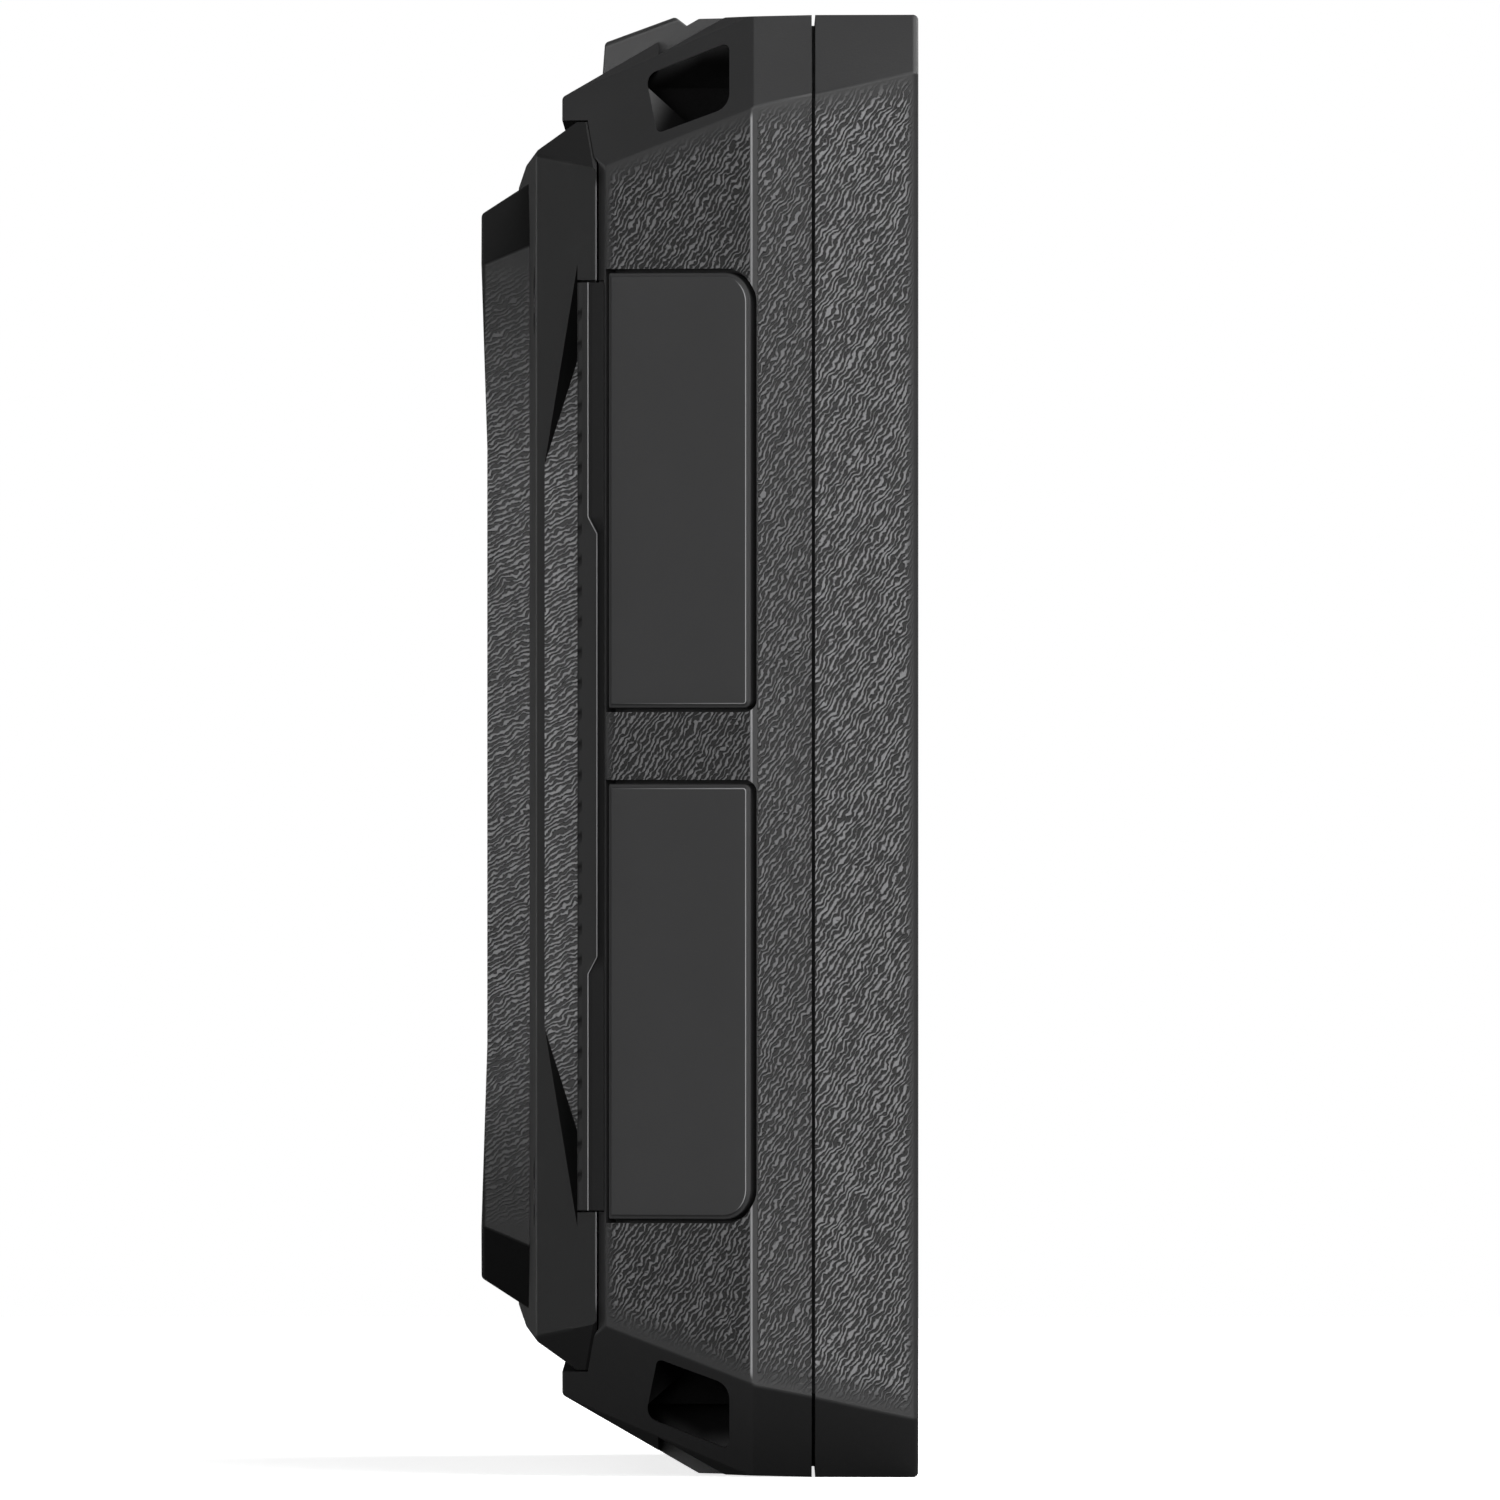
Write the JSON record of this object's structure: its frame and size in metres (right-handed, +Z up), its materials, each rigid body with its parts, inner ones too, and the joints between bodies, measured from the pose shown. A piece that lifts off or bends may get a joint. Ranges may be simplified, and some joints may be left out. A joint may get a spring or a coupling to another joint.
{
  "type": "rugged handheld navigator",
  "caption": "Upright faceted black navigator case with a front screen, grained walls, hinged rubber port flaps, a top button, corner strap slots and a stepped mounting back.",
  "frame": {"origin": "middle of the case's footprint on the surface that its bottom edge stands on", "axes": "+X along the case to the viewer's right when facing the screen, +Y from the screen to the mounting back, +Z up"},
  "size_m": [0.157, 0.0286, 0.0951],
  "materials": {
    "case_plastic": "moulded black plastic with a leather grain on the flat walls and a plain satin on the cut corners",
    "cover_plastic": "moulded black plastic",
    "flap_rubber": "matte moulded rubber",
    "button_plastic": "satin moulded plastic",
    "seal_rubber": "black silicone",
    "screen_glass": "polished cover glass",
    "display": "dark display panel",
    "frame_metal": "die-cast",
    "screw_steel": "blackened or bright steel",
    "circuit_board": "solder mask",
    "tin_shield": "tinned sheet",
    "ceramic": "fired ceramic",
    "battery_film": "wrapped cell pack",
    "foam": "closed-cell foam",
    "component_black": "moulded component body",
    "flex_film": "polyimide film",
    "brass_insert": "knurled brass",
    "contact_gold": "plated contact"
  },
  "bodies": {
    "case": {"front_bezel": "case_plastic", "rear_housing": "case_plastic", "rear_cover": "cover_plastic", "cover_glass": "screen_glass", "glass_adhesive": "foam", "lcd_panel": "display", "inner_frame": "frame_metal", "frame_screws": "screw_steel", "perimeter_seal": "seal_rubber", "case_screws": "screw_steel", "main_board": "circuit_board", "board_screws": "screw_steel", "processor_shield": "tin_shield", "radio_shield": "tin_shield", "thermal_pad": "foam", "satellite_antenna": "ceramic", "display_ribbon": "flex_film", "ribbon_connector": "component_black", "battery_pack": "battery_film", "battery_pad": "foam", "port_board": "circuit_board", "usb_socket": "tin_shield", "card_slot": "tin_shield", "memory_card": "component_black", "audio_jack": "component_black", "port_spine": "flap_rubber", "button_seal": "seal_rubber", "button_switch": "component_black", "button_bracket": "circuit_board", "speaker": "component_black", "speaker_gasket": "foam", "speaker_mesh": "tin_shield", "cover_gasket": "seal_rubber", "cover_screws": "screw_steel", "threaded_inserts": "brass_insert", "power_contacts": "contact_gold"},
    "upper_flap": {"upper_port_flap": "flap_rubber"},
    "lower_flap": {"lower_port_flap": "flap_rubber"},
    "button": {"power_button": "button_plastic"}
  },
  "joints": [
    {"name": "upper_flap_hinge", "type": "hinge", "parent": "case", "child": "upper_flap", "pos_m": [-0.07296, 0.00606, 0.0641], "axis": [0, 0, -1], "range_deg": [0, 110], "stiffness_Nm_per_rad": 0.002},
    {"name": "lower_flap_hinge", "type": "hinge", "parent": "case", "child": "lower_flap", "pos_m": [-0.07296, 0.00606, 0.0309], "axis": [0, 0, -1], "range_deg": [0, 110], "stiffness_Nm_per_rad": 0.002},
    {"name": "power_button_press", "type": "slide", "parent": "case", "child": "button", "axis": [0, -0.5, -0.866], "range_m": [0, 0.0005], "stiffness_N_per_m": 2000}
  ]
}
